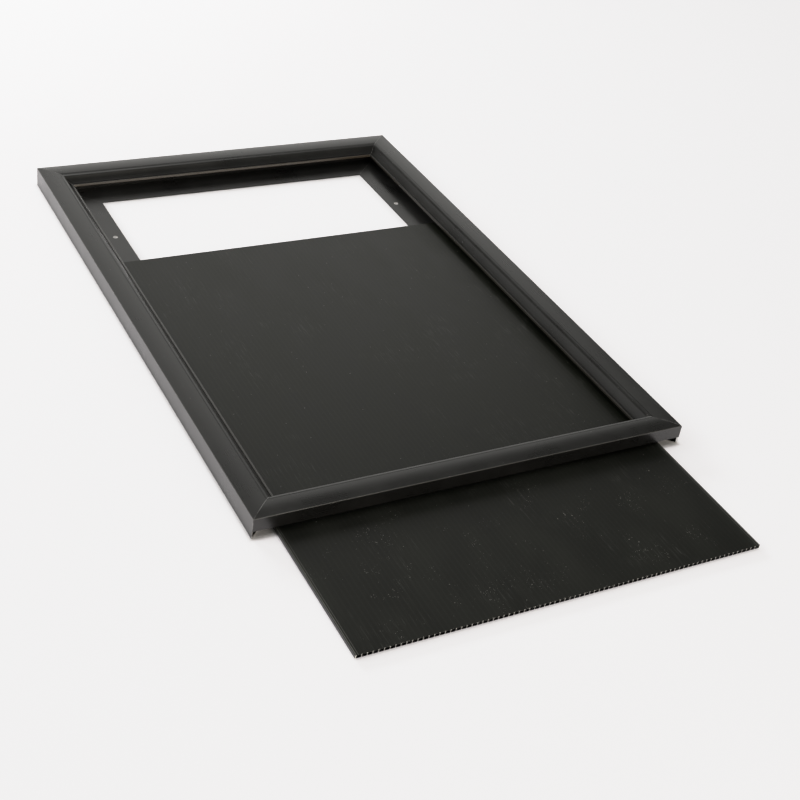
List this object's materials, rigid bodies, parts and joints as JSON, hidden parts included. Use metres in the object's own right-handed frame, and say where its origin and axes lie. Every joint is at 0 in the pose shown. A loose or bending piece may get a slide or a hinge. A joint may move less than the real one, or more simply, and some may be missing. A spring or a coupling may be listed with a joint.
{
  "type": "sandwich board leaf",
  "caption": "Mitred black aluminium sandwich-board frame with a cove front, shown lying flat, and a fluted plastic panel that slides out through a slot under the bottom rail.",
  "frame": {"origin": "on the plane that the back rests on, below the middle of the box round the frame and its panel pulled out as stored", "axes": "+X across the leaf to the right, +Y along the leaf from the slotted bottom rail to the top rail, +Z the way the front faces"},
  "size_m": [0.564, 1.012, 0.0286],
  "materials": {
    "black_rail": "satin black coated extrusion, bare metal at the sawn mitres",
    "fluted_sheet": "black twin-wall polypropylene",
    "key_casting": "as cast",
    "screw_steel": "dark oiled steel"
  },
  "bodies": {
    "frame": {"bottom_rail": "black_rail", "right_side_rail": "black_rail", "top_rail": "black_rail", "left_side_rail": "black_rail", "bottom_left_front_key": "key_casting", "bottom_right_front_key": "key_casting", "top_right_front_key": "key_casting", "top_right_rear_key": "key_casting", "top_left_front_key": "key_casting", "top_left_rear_key": "key_casting", "bottom_left_front_key_end_screw": "screw_steel", "bottom_left_front_key_side_screw": "screw_steel", "bottom_right_front_key_end_screw": "screw_steel", "bottom_right_front_key_side_screw": "screw_steel", "top_right_front_key_end_screw": "screw_steel", "top_right_front_key_side_screw": "screw_steel", "top_right_rear_key_end_screw": "screw_steel", "top_right_rear_key_side_screw": "screw_steel", "top_left_front_key_end_screw": "screw_steel", "top_left_front_key_side_screw": "screw_steel", "top_left_rear_key_end_screw": "screw_steel", "top_left_rear_key_side_screw": "screw_steel"},
    "panel": {"slide_in_panel": "fluted_sheet"}
  },
  "joints": [
    {"name": "panel_slide", "type": "slide", "parent": "frame", "child": "panel", "axis": [0, -1, 0], "range_m": [-0.222, 0.5]}
  ]
}
